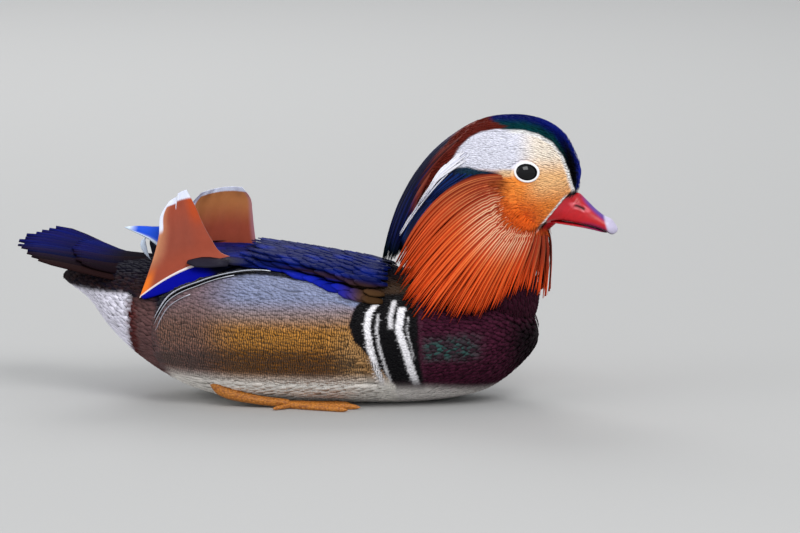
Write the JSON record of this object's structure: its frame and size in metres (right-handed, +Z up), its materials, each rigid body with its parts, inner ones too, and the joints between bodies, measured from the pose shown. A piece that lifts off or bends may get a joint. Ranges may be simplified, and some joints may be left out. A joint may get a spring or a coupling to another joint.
{
  "type": "mandarin duck",
  "caption": "Life-size drake mandarin duck sitting on its belly as it floats, with crest, ruff, raised wing sails and fanned tail.",
  "frame": {"origin": "under the middle of the belly, on the level that the belly and the feet rest on", "axes": "+X forward to the bill, +Y to the bird's left, +Z up"},
  "size_m": [0.3455, 0.1228, 0.1641],
  "materials": {
    "body_plumage": "matt feathers",
    "dark_plumage": "matt feathers",
    "face_plumage": "matt feathers",
    "crest_plumage": "glossy feathers",
    "ruff_plumage": "matt feathers",
    "bill": "satin horn",
    "eye": "wet gloss",
    "wing_plumage": "glossy feathers",
    "sail_plumage": "matt feathers",
    "tail_plumage": "matt feathers",
    "leg_skin": "scaly skin"
  },
  "bodies": {
    "root": {"torso": "body_plumage", "neck": "dark_plumage", "head": "face_plumage", "crest": "crest_plumage", "ruff_right": "ruff_plumage", "ruff_left": "ruff_plumage", "bill_upper": "bill", "bill_lower": "bill", "eye_right": "eye", "eye_left": "eye", "wing_right": "wing_plumage", "wing_left": "wing_plumage", "sail_right": "sail_plumage", "sail_left": "sail_plumage", "tail": "tail_plumage", "leg_right": "leg_skin", "leg_left": "leg_skin", "foot_right": "leg_skin", "foot_left": "leg_skin"}
  },
  "joints": []
}
